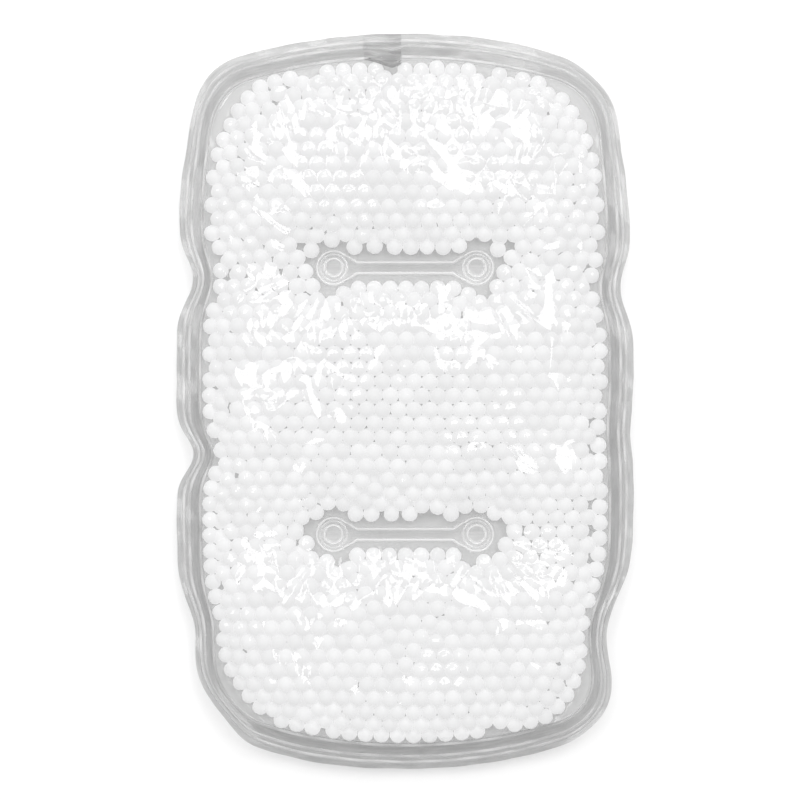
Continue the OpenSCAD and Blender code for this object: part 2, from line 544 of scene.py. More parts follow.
@dataclass(frozen=True)
class PackShape:
    """Sizes of the filled pack in millimetres, and the functions that give its form.

    The first block comes from the CAD frame. The others repeat the part's own values,
    apart from those that only the looks need.
    """

    half_width: float
    half_length: float
    seam: float
    weld_width: float
    front_rise: float
    back_depth: float
    fold_y: float
    strip_half: float
    ring_reach: float
    ring_radius: float
    film: float = 0.4
    corner_radius: float = 22.0
    end_radius: float = 160.0
    pad_radius: float = 31.0
    dome_run: float = 16.0
    neck_dip: float = 0.3
    bar_half: float = 1.8
    flare: float = 1.6
    swell_power: float = 0.7
    pinches: tuple[Pinch, ...] = (
        Pinch(Side.BOTH, 74.0, 3.0, 10.0),
        Pinch(Side.RIGHT, 57.0, 1.3, 13.0),
        Pinch(Side.RIGHT, 90.0, 6.0, 6.0),
        Pinch(Side.LEFT, 55.0, 0.6, 14.0),
        Pinch(Side.LEFT, 31.5, 4.0, 5.4),
        Pinch(Side.RIGHT, 29.0, 3.2, 5.6),
        Pinch(Side.LEFT, -13.7, 4.3, 4.2),
        Pinch(Side.RIGHT, -8.0, 0.8, 5.0),
        Pinch(Side.BOTH, -71.0, 4.6, 13.0),
        Pinch(Side.LEFT, -57.0, 1.8, 5.0),
        Pinch(Side.LEFT, -88.0, 9.0, 8.0),
        Pinch(Side.RIGHT, -57.5, 3.9, 8.0),
        Pinch(Side.RIGHT, -92.0, 6.0, 6.0),
    )

    @classmethod
    def from_frame(cls, frame: dict) -> "PackShape":
        """Reads the sizes that the CAD frame holds.


        Returns:
            The shape.
        """
        low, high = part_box("centre_front_film")
        weld_low, weld_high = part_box("upper_fold_weld")
        strip_low, strip_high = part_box("upper_fold_front_film")
        _, rim_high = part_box("upper_edge_weld")
        fold = next(j for j in frame["joints"] if j["name"] == "upper_fold")
        seam = fold["pos_m"][2] / MM
        film = cls.film
        ring_radius = (weld_high.y - weld_low.y) / 2 / MM
        return cls(
            half_width=rim_high.x / MM,
            half_length=rim_high.y / MM,
            seam=seam,
            weld_width=(rim_high.x - high.x) / MM,
            front_rise=high.z / MM - seam - film,
            back_depth=seam - film,
            fold_y=fold["pos_m"][1] / MM,
            strip_half=(strip_high.y - strip_low.y) / 2 / MM,
            ring_reach=weld_high.x / MM - ring_radius,
            ring_radius=ring_radius,
        )

    @property
    def end_centre(self) -> float:
        """How far past the middle the bowed ends' centres lie."""
        return self.end_radius - self.half_length

    @property
    def corner_x(self) -> float:
        """Place of the corners' centres across the pack."""
        return self.half_width - self.corner_radius

    @property
    def corner_sweep(self) -> float:
        """Angle of the corners' arcs in radians."""
        return math.acos(self.corner_x / (self.end_radius - self.corner_radius))

    @property
    def corner_y(self) -> float:
        """Place of the corners' centres along the pack."""
        reach = self.end_radius - self.corner_radius
        return reach * math.sin(self.corner_sweep) - self.end_centre

    def edge_gap(self, x: Array, y: Array) -> Array:
        """Measures the distance from the edge weld's inner line.

        Args:
            x: Places across the pack.
            y: Places along the pack.

        Returns:
            The distances, positive inside the chamber.
        """
        dx, dy = np.abs(x) - self.corner_x, np.abs(y) - self.corner_y
        corner = self.corner_radius - self.weld_width - np.hypot(dx, dy)
        side = self.half_width - self.weld_width - np.abs(x)
        end = self.end_radius - self.weld_width - np.hypot(x, np.abs(y) + self.end_centre)
        sweep = self.corner_sweep
        in_corner = (dy > 0) & (dx * math.sin(sweep) > dy * math.cos(sweep))
        return np.where(in_corner, corner, np.minimum(side, end))

    def pad_gap(self, x: Array, y: Array) -> Array:
        """Measures the distance from the beads' outline, which is rounder than the chamber's.

        Args:
            x: Places across the pack.
            y: Places along the pack.

        Returns:
            The distances, positive inside.
        """
        half_x = self.half_width - self.weld_width
        half_y = self.half_length - self.weld_width
        qx = np.abs(x) - half_x + self.pad_radius
        qy = np.abs(y) - half_y + self.pad_radius
        corner = np.hypot(np.maximum(qx, 0), np.maximum(qy, 0))
        box = self.pad_radius - corner - np.minimum(np.maximum(qx, qy), 0)
        end = self.end_radius - self.weld_width - np.hypot(x, np.abs(y) + self.end_centre)
        return np.minimum(box, end)

    def weld_gap(self, x: Array, y: Array) -> Array:
        """Measures the distance from the nearer fold weld, whose bar flares into its rings.

        Args:
            x: Places across the pack.
            y: Places along the pack.

        Returns:
            The distances, negative on the weld.
        """
        dx, dy = np.abs(x) - self.ring_reach, np.abs(y) - self.fold_y
        bar = np.hypot(np.maximum(dx, 0), dy) - self.bar_half
        ring = np.hypot(dx, dy) - self.ring_radius
        flare = (bar + ring - self.flare) * math.sqrt(0.5)
        return np.minimum(np.minimum(bar, ring), flare)

    def swell(self, gap: Array) -> Array:
        """Rises from 0 at a weld to 1 where the film is at full spread."""
        return np.sin(math.pi / 2 * np.clip(gap / self.dome_run, 0, 1)) ** self.swell_power

    def fullness(self, x: Array, y: Array) -> Array:
        """Works out the share of the full spread that the films have at a point of the flat plan.

        Args:
            x: Places across the pack.
            y: Places along the pack.

        Returns:
            The shares, from 0 to 1.
        """
        away = np.clip(np.abs(np.abs(y) - self.fold_y) / self.dome_run, 0, 1)
        neck = 1 - self.neck_dip * (1 + np.cos(math.pi * away)) / 2
        return self.swell(self.pad_gap(x, y)) * self.swell(self.weld_gap(x, y)) * neck

    def draw_in(self, x: Array, y: Array) -> Array:
        """Works out how far the pinches move the outline towards the middle, on x's side.

        Args:
            x: Places across the pack.
            y: Places along the pack.

        Returns:
            The distances.
        """
        total = np.zeros(np.broadcast(x, y).shape)
        for pinch in self.pinches:
            amount = pinch.depth * np.exp(-(((y - pinch.y) / pinch.spread) ** 2) / 2)
            if pinch.side is not Side.BOTH:
                amount = amount * (np.sign(x) == pinch.side.value)
            total = total + amount
        return total

    def pinched(self, x: Array, y: Array) -> Array:
        """The x that a point of the flat plan has once the rim has drawn in."""
        return x - np.sign(x) * self.draw_in(x, y) * (np.abs(x) / self.half_width) ** 3

    def flattened(self, x: Array, y: Array) -> Array:
        """Finds where on the flat plan a point of the pinched pack was.

        Args:
            x: Places across the pack.
            y: Places along the pack.

        Returns:
            The flat plan's x.
        """
        flat = x
        for _ in range(6):
            flat = x + np.sign(x) * self.draw_in(x, y) * (np.abs(flat) / self.half_width) ** 3
        return flat


def bend_at_fold(piece: bpy.types.Object) -> None:
    """Bakes a piece's place into its mesh, so that it sits at the origin.

    Args:
        piece: The piece.
    """
    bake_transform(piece)  # fmt: skip


# ---- Beads ----


class Level(Enum):
    """Layers of beads, by the share of the way from the back film to the front one."""

    FRONT = 1.0
    MIDDLE = 0.5
    BACK = 0.0


@dataclass
class BeadLayer:
    """One layer of beads, jostled until they lie side by side.

    setback keeps a layer off the edge weld, where the pack is too thin for it. tongue is the
    filling port's tongue: its place across and along the pack, and its radius.
    """

    shape: PackShape
    level: Level
    setback: float
    seed: int
    radius: float = 2.1
    stand_off: float = 1.5
    ring_stand_off: float = 0.5
    tongue: tuple[float, float, float] = (-3.6, 87.4, 2.0)
    tightness: float = 0.955
    jitter: float = 0.8
    keep: float = 0.72
    sight: float = 3.2
    give: float = 0.42
    most_shift: float = 0.5
    probe: float = 0.05
    rounds: int = 260
    look_again: int = 8

    def room(self, x: Array, y: Array) -> Array:
        """Measures the distance that a bead's middle has to the edge of where it may lie.

        Args:
            x: Places across the pack.
            y: Places along the pack.

        Returns:
            The distances, positive inside.
        """
        s, step = self.shape, self.probe
        here = s.pad_gap(s.flattened(x, y), y)
        slope = (s.pad_gap(s.flattened(x + step, y), y) - here) / step
        rise = (s.pad_gap(s.flattened(x, y + step), y + step) - here) / step
        edge = here / np.maximum(np.hypot(slope, rise), 0.5)
        dx, dy = np.abs(x) - s.ring_reach, np.abs(y) - s.fold_y
        bar = np.hypot(np.maximum(dx, 0), dy) - s.bar_half - self.stand_off
        ring = np.hypot(dx, dy) - s.ring_radius - self.ring_stand_off
        tongue = np.hypot(x - self.tongue[0], y - self.tongue[1]) - self.tongue[2]
        return np.minimum(np.minimum(edge, np.minimum(bar, ring)) - self.setback, tongue)

    def height(self, x: Array, y: Array) -> Array:
        """Works out the height of a bead's middle at a place.

        Args:
            x: Places across the pack.
            y: Places along the pack.

        Returns:
            The heights.
        """
        full = self.shape.fullness(self.shape.flattened(x, y), y)
        top = self.shape.seam + self.shape.front_rise * full - self.radius
        bottom = self.shape.seam - self.shape.back_depth * full + self.radius
        if self.level is Level.MIDDLE:
            return (top + bottom) / 2
        if self.level is Level.BACK:
            return np.minimum(bottom, (top + bottom) / 2)
        return np.maximum(top, (top + bottom) / 2)

    def pack(self) -> Array:
        """Lays the beads.

        Returns:
            Their middles, as count x 3.
        """
        spot = self.scatter()
        first = second = np.zeros(0, int)
        for turn in range(self.rounds):
            z = self.height(spot[:, 0], spot[:, 1])
            if turn % self.look_again == 0:
                gap = ((spot[:, None, :] - spot[None, :, :]) ** 2).sum(2)
                first, second = np.nonzero(np.triu(gap < (self.sight * self.radius) ** 2, 1))
            apart = spot[second] - spot[first]
            rise = z[second] - z[first]
            plan = np.hypot(apart[:, 0], apart[:, 1])
            length = np.hypot(plan, rise)
            push = np.clip(2 * self.radius - length, 0, None) * self.give
            way = apart / np.maximum(plan, 1e-6)[:, None] * push[:, None]
            shift = np.zeros_like(spot)
            np.add.at(shift, first, -way)
            np.add.at(shift, second, way)
            spot = spot + np.clip(shift, -self.most_shift, self.most_shift)
            spot = self.kept_in(self.kept_in(spot))
        z = self.height(spot[:, 0], spot[:, 1])
        return np.column_stack([spot, z])

    def scatter(self) -> Array:
        """Sets the beads out in offset rows, a little tighter than they fit, and shakes them.

        Returns:
            Their places in plan, as count x 2.
        """
        rng = np.random.default_rng(self.seed)
        pitch = 2 * self.radius * self.tightness
        xs = np.arange(-60, 60, pitch)
        ys = np.arange(-96, 96, pitch * math.sqrt(0.75))
        grid_x, grid_y = np.meshgrid(xs, ys)
        grid_x = grid_x + (np.arange(len(ys)) % 2)[:, None] * pitch / 2
        spot = np.column_stack([grid_x.ravel(), grid_y.ravel()])
        spot += rng.normal(0, self.jitter, spot.shape)
        return spot[self.room(spot[:, 0], spot[:, 1]) > self.radius * self.keep]

    def kept_in(self, spot: Array) -> Array:
        """Moves the beads that stand too near the edge away from it.

        Args:
            spot: Places in plan.

        Returns:
            The new places.
        """
        x, y, step = spot[:, 0], spot[:, 1], self.probe
        short = np.clip(self.radius - self.room(x, y), 0, None)
        gx = self.room(x + step, y) - self.room(x - step, y)
        gy = self.room(x, y + step) - self.room(x, y - step)
        size = np.maximum(np.hypot(gx, gy), 1e-6)
        return spot + np.column_stack([gx / size, gy / size]) * np.clip(short, 0, 1.0)[:, None]


@dataclass
class BeadFill:
    """The loose gel beads: one bead is modelled, and copied to every place in the three layers."""

    shape: PackShape
    radius: float = 2.1
    seed: int = 11
    middle_fullness: float = 0.8

    def lay(self) -> None:
        """Finds the beads' places."""
        layers = [
            BeadLayer(self.shape, Level.FRONT, 0.0, self.seed),
            BeadLayer(self.shape, Level.BACK, 2.6, self.seed + 1),
            BeadLayer(self.shape, Level.MIDDLE, 5.0, self.seed + 2),
        ]
        placed = []
        for layer in layers:
            found = layer.pack()
            if layer.level is Level.MIDDLE:
                x, y = found[:, 0], found[:, 1]
                full = self.shape.fullness(self.shape.flattened(x, y), y)
                found = found[full > self.middle_fullness]
            LOG.info("%s layer: %d beads", layer.level.name.lower(), len(found))
            placed.append(found)
        self.front, self.back, self.middle = placed

    def one_bead(self) -> bpy.types.Object:
        """Models one bead: a cube cut in threes and rounded to a ball.

        Returns:
            The bead, of radius 1 metre at the origin.
        """
        deselect_all()
        bpy.ops.mesh.primitive_cube_add(size=2)
        bead = bpy.context.active_object
        bpy.ops.object.mode_set(mode="EDIT")
        bpy.ops.mesh.select_all(action="SELECT")
        bpy.ops.mesh.subdivide(number_cuts=2)
        bpy.ops.transform.tosphere(value=1.0)
        bpy.ops.object.mode_set(mode="OBJECT")
        skin = read_vertices(bead.data)
        skin /= np.linalg.norm(skin, axis=1).mean()
        bead.data.vertices.foreach_set("co", skin.ravel())
        return bead

    def build(self, name: str, places: Array, material: bpy.types.Material) -> bpy.types.Object:
        """Copies the bead to some places, each copy turned and sized a little differently.

        Args:
            name: Name of the piece.
            places: Middles of its beads in millimetres.
            material: The beads' finish.

        Returns:
            The piece.
        """
        bead = self.one_bead()
        unit = read_vertices(bead.data)
        faces = np.array([tuple(p.vertices) for p in bead.data.polygons])
        bpy.data.objects.remove(bead)
        rng = np.random.default_rng(self.seed + len(places))
        count = len(places)
        turn = rng.normal(size=(count, 4))
        turn /= np.linalg.norm(turn, axis=1)[:, None]
        a, b, c, d = turn.T
        spin = np.stack(
            [
                1 - 2 * (c * c + d * d), 2 * (b * c - a * d), 2 * (b * d + a * c),
                2 * (b * c + a * d), 1 - 2 * (b * b + d * d), 2 * (c * d - a * b),
                2 * (b * d - a * c), 2 * (c * d + a * b), 1 - 2 * (b * b + c * c),
            ],
            axis=1,
        ).reshape(count, 3, 3)  # fmt: skip
        size = self.radius * rng.uniform(0.99, 1.04, count)
        balls = np.einsum("nij,vj->nvi", spin, unit) * size[:, None, None] + places[:, None, :]
        index = (faces[None, :, :] + (np.arange(count) * len(unit))[:, None, None]).reshape(-1, 4)
        mesh = bpy.data.meshes.new(name)
        mesh.from_pydata((balls.reshape(-1, 3) * MM).tolist(), [], index.tolist())
        piece = bpy.data.objects.new(name, mesh)
        bpy.context.scene.collection.objects.link(piece)
        store_values(piece, "bead_tone", np.repeat(rng.uniform(0, 1, count), len(unit)))
        mesh.materials.append(material)
        mesh.shade_smooth()
        return piece


# ---- Films ----


class Face(Enum):
    """Faces of the pack, by the way they look."""

    FRONT = 1
    BACK = -1

    @property
    def word(self) -> str:
        """Its word in the names of pieces and nodes."""
        return self.name.lower()


@dataclass(frozen=True)
class Crease:
    """A fold ridge in the film: from one end, in a direction in degrees, curving a little."""

    x: float
    y: float
    turn: float
    length: float
    height: float
    width: float


@dataclass(frozen=True)
class CreasePatch:
    """An area of creases: its middle and reach, their direction and its scatter, and how many."""

    x: float
    y: float
    reach_x: float
    reach_y: float
    turn: float
    scatter: float
    count: int


@dataclass
class Drape:
    """Height of one film over the beads, on a fine raster in millimetres."""

    shape: PackShape
    face: Face
    beads: Array
    radius: float = 2.1
    pitch: float = 0.4
    half_x: float = 62.0
    half_y: float = 98.0
    swells: int = 14
    swell_height: float = 0.22
    clearance: float = 0.04
    rounding: float = 0.08
    seed: int = 5
    rounds: int = 40

    def solve(self, creases: list[Crease]) -> None:
        """Lays the film over the beads, draws it taut, and adds its creases.

        Args:
            creases: The ridges to add.
        """
        shape = self.shape
        self.xs = np.arange(-self.half_x, self.half_x + 0.01, self.pitch)
        self.ys = np.arange(-self.half_y, self.half_y + 0.01, self.pitch)
        x, y = np.meshgrid(self.xs, self.ys)
        flat = shape.flattened(x, y)
        inside = shape.edge_gap(flat, y)
        weld = shape.weld_gap(x, y)
        rise = shape.front_rise if self.face is Face.FRONT else shape.back_depth
        full = shape.fullness(flat, y)
        rng = np.random.default_rng(self.seed + self.face.value)
        wave = self.waves(rng, x, y)
        height = rise * full + (wave * np.minimum(full * 2, 1) if self.face is Face.FRONT else 0)
        bumps = self.bead_caps(x.shape)
        free = (inside > 0) & (weld > 0)
        lively = self.liveliness(rng, x, y)
        snug = self.drawn_taut(bumps, free, lively)
        near = smoothstep(np.minimum(inside, weld + 0.2) / 1.6)
        loose = height + (0.16 - 0.5 * lively) * near
        for crease in creases:
            loose = loose + near * self.ridge(x, y, crease)
        meeting = self.rounding * np.exp(-np.abs(snug - loose) / self.rounding) * 0.5
        height = np.where(free, np.maximum(snug, loose) + meeting, 0)
        if self.face is Face.BACK:
            height = np.minimum(height, shape.back_depth)
        self.height = height

    def waves(self, rng: np.random.Generator, x: Array, y: Array) -> Array:
        """Long soft waves that the loose film lies in.

        Args:
            rng: Source of chance.
            x: Places across the pack.
            y: Places along the pack.

        Returns:
            Their heights.
        """
        wave = np.zeros_like(x)
        for _ in range(self.swells):
            length, turn = rng.uniform(13, 38), rng.uniform(0, math.pi)
            start = rng.uniform(0, 2 * math.pi)
            run = x * math.cos(turn) + y * math.sin(turn)
            wave += np.sin(2 * math.pi * run / length + start)
        return wave * (self.swell_height / math.sqrt(self.swells / 2))

    def bead_caps(self, size: tuple[int, int]) -> Array:
        """Heights of the beads' tops over the seam.

        Args:
            size: Rows and columns of the raster.

        Returns:
            The heights, with -99 where no bead is.
        """
        reach = int(math.ceil(self.radius / self.pitch)) + 1
        steps = np.arange(-reach, reach + 1)
        column = np.round((self.beads[:, 0] - self.xs[0]) / self.pitch).astype(int)
        row = np.round((self.beads[:, 1] - self.ys[0]) / self.pitch).astype(int)
        cells_r = (row[:, None, None] + steps[None, :, None]) + 0 * steps[None, None, :]
        cells_c = (column[:, None, None] + steps[None, None, :]) + 0 * steps[None, :, None]
        off_x = self.xs[cells_c] - self.beads[:, 0, None, None]
        off_y = self.ys[cells_r] - self.beads[:, 1, None, None]
        off = off_x**2 + off_y**2
        middle = self.face.value * (self.beads[:, 2, None, None] - self.shape.seam)
        cap = middle + np.sqrt(np.clip(self.radius**2 - off, 0, None))
        cap = np.where(off < self.radius**2, cap, -99)
        bumps = np.full(size, -99.0)
        np.maximum.at(bumps, (cells_r, cells_c), cap)
        return bumps + self.clearance

    def liveliness(self, rng: np.random.Generator, x: Array, y: Array) -> Array:
        """Shares out where the film clings to the beads and where it lies loose over them.

        Args:
            rng: Source of chance.
            x: Places across the pack.
            y: Places along the pack.

        Returns:
            The shares, from 0, loose, to 1, clinging.
        """
        turns, lengths, starts = (
            rng.uniform(0, math.pi, 9), rng.uniform(16, 34, 9), rng.uniform(0, 6, 9)
        )  # fmt: skip
        patch = sum(
            np.sin(2 * math.pi * (x * math.cos(turn) + y * math.sin(turn)) / length + start)
            for turn, length, start in zip(turns, lengths, starts)
        )
        top = 0.75 * smoothstep((y - 42) / 12) * (x < 45)
        return np.clip(0.25 + patch / 4 + top, 0, 1)

    def drawn_taut(self, bumps: Array, free: Array, lively: Array) -> Array:
        """Relaxes a taut skin over the beads.

        Args:
            bumps: Heights of the beads' tops.
            free: Where the film isn't welded.
            lively: How closely it clings.

        Returns:
            The skin's heights.
        """
        cling = np.where(bumps > -50, 0.02 + 0.035 * lively, 0.0)
        snug = np.where(free & (bumps > -50), bumps, 0)
        for _ in range(self.rounds):
            spread = snug.copy()
            spread[1:-1, 1:-1] = (
                snug[:-2, 1:-1] + snug[2:, 1:-1] + snug[1:-1, :-2] + snug[1:-1, 2:]
            ) / 4
            snug = np.where(free, np.maximum(bumps, spread - cling), 0)
        return snug

    def ridge(self, x: Array, y: Array, crease: Crease) -> Array:
        """Works out the height that one crease adds over the raster.

        Args:
            x: Places across the pack.
            y: Places along the pack.
            crease: The crease.

        Returns:
            The added heights.
        """
        ahead, left = math.cos(math.radians(crease.turn)), math.sin(math.radians(crease.turn))
        along = (x - crease.x) * ahead + (y - crease.y) * left
        across = (y - crease.y) * ahead - (x - crease.x) * left
        share = along / crease.length
        across = across + 0.10 * crease.length * share * (1 - share)
        taper = np.sin(math.pi * np.clip(share, 0, 1)) ** 0.7
        return crease.height * taper / (1 + (across / crease.width) ** 2) ** 1.5

    def at(self, x: Array, y: Array) -> Array:
        """Reads the height of the film's outer skin in the row frame.

        Args:
            x: Places across the pack.
            y: Places along the pack.

        Returns:
            The heights.
        """
        u = np.clip((x - self.xs[0]) / self.pitch, 0, len(self.xs) - 1.001)
        v = np.clip((y - self.ys[0]) / self.pitch, 0, len(self.ys) - 1.001)
        i, j = u.astype(int), v.astype(int)
        fu, fv = u - i, v - j
        h = self.height
        value = (
            h[j, i] * (1 - fu) * (1 - fv)
            + h[j, i + 1] * fu * (1 - fv)
            + h[j + 1, i] * (1 - fu) * fv
            + h[j + 1, i + 1] * fu * fv
        )
        return self.shape.seam + self.face.value * (value + self.shape.film)


@dataclass
class CreaseMaker:
    """Chooses where the film creases: off the welds, at the corners and over the beads."""

    shape: PackShape
    seed: int = 23

    def front(self) -> list[Crease]:
        """Creases of the front film.

        Returns:
            The creases.
        """
        rng = np.random.default_rng(self.seed)
        found = []
        s = self.shape
        # Rays that fan out from each ring of the fold welds.
        for end in (-1, 1):
            for fold in (-1, 1):
                for turn in np.linspace(-70, 70, 8):
                    angle = (0 if end > 0 else 180) + turn + rng.uniform(-8, 8)
                    start = s.ring_radius + rng.uniform(1.0, 4.0)
                    found.append(
                        self.crease(
                            rng,
                            end * s.ring_reach + start * math.cos(math.radians(angle)),
                            fold * s.fold_y + start * math.sin(math.radians(angle)),
                            angle, (8, 19), (0.35, 0.7), (0.7, 1.6),
                        )
                    )  # fmt: skip
        # Short ones that run off the welds' bars, more of them downwards.
        for fold in (-1, 1):
            for place in np.linspace(-17, 17, 11):
                down = rng.uniform() < 0.7
                found.append(
                    self.crease(
                        rng,
                        place + rng.uniform(-1.5, 1.5),
                        fold * s.fold_y + (-3.6 if down else 3.6),
                        (-90 if down else 90) + rng.uniform(-22, 22),
                        (4, 10), (0.3, 0.7), (0.7, 1.5),
                    )
                )  # fmt: skip
        # Loose wrinkles over the beads.
        for patch in self.patches():
            for _ in range(patch.count):
                found.append(
                    self.crease(
                        rng,
                        patch.x + rng.uniform(-1, 1) * patch.reach_x,
                        patch.y + rng.uniform(-1, 1) * patch.reach_y,
                        patch.turn + rng.uniform(-1, 1) * patch.scatter,
                        (4, 14), (0.3, 0.75), (0.9, 2.2),
                    )
                )  # fmt: skip
        # Long straight ones at two of the corners.
        found += [
            Crease(-47.0, -72.5, -46, 19, 0.7, 0.7),
            Crease(-49.5, -75.5, -44, 17, 0.5, 0.6),
            Crease(-40.0, 50.0, -38, 17, 0.6, 0.9),
            Crease(-30.5, 44.5, -38, 15, 0.6, 1.0),
        ]
        return found + self.puckers(rng, 60)

    def crease(
        self,
        rng: np.random.Generator,
        x: float,
        y: float,
        turn: float,
        length: tuple[float, float],
        height: tuple[float, float],
        width: tuple[float, float],
    ) -> Crease:
        """Makes one crease, with sizes chosen inside their ranges.

        Args:
            rng: Source of chance.
            x: Place of its start across the pack.
            y: Place of its start along the pack.
            turn: Its direction in degrees.
            length: Least and most length.
            height: Least and most height.
            width: Least and most width.

        Returns:
            The crease.
        """
        return Crease(x, y, turn, rng.uniform(*length), rng.uniform(*height), rng.uniform(*width))

    def patches(self) -> list[CreasePatch]:
        """Lists the areas where the front film wrinkles, most of all at the top and the left.

        Returns:
            The areas.
        """
        return [
            CreasePatch(-22, 76, 24, 12, -55, 40, 46),
            CreasePatch(22, 72, 26, 14, 10, 90, 38),
            CreasePatch(-34, 52, 15, 16, -48, 22, 20),
            CreasePatch(34, 50, 14, 16, 20, 80, 16),
            CreasePatch(-32, 18, 14, 18, -75, 40, 20),
            CreasePatch(44, 8, 6, 30, 88, 14, 14),
            CreasePatch(-36, -14, 14, 16, 60, 60, 14),
            CreasePatch(-34, -58, 16, 26, -80, 35, 60),
            CreasePatch(34, -44, 14, 18, -30, 60, 14),
            CreasePatch(-8, -76, 22, 8, -75, 40, 22),
            CreasePatch(30, -70, 14, 12, 20, 70, 12),
            CreasePatch(-4, 27, 16, 4, -88, 30, 16),
            CreasePatch(4, -42, 18, 4, -80, 50, 16),
            CreasePatch(0, 0, 44, 80, 0, 180, 44),
        ]

    def back(self) -> list[Crease]:
        """Creases of the back film, which only puckers at the rim."""
        return self.puckers(np.random.default_rng(self.seed + 1), 48)

    def puckers(self, rng: np.random.Generator, count: int) -> list[Crease]:
        """Short creases that run in from the edge weld.

        Args:
            rng: Source of chance.
            count: How many to make.

        Returns:
            The creases.
        """
        found = []
        for share in (np.arange(count) + rng.uniform(-0.35, 0.35, count)) / count:
            turn = 2 * math.pi * share
            x, y = 60 * math.cos(turn), 96 * math.sin(turn)
            for _ in range(60):
                x, y = x * 0.985, y * 0.985
                if float(self.shape.edge_gap(np.array(x), np.array(y))) > 0.3:
                    break
            x = float(self.shape.pinched(np.array(x), np.array(y)))
            inward = math.degrees(math.atan2(-y * 0.6, -x)) + rng.uniform(-28, 28)
            found.append(self.crease(rng, x, y, inward, (4, 11), (0.2, 0.5), (0.45, 0.9)))
        return found


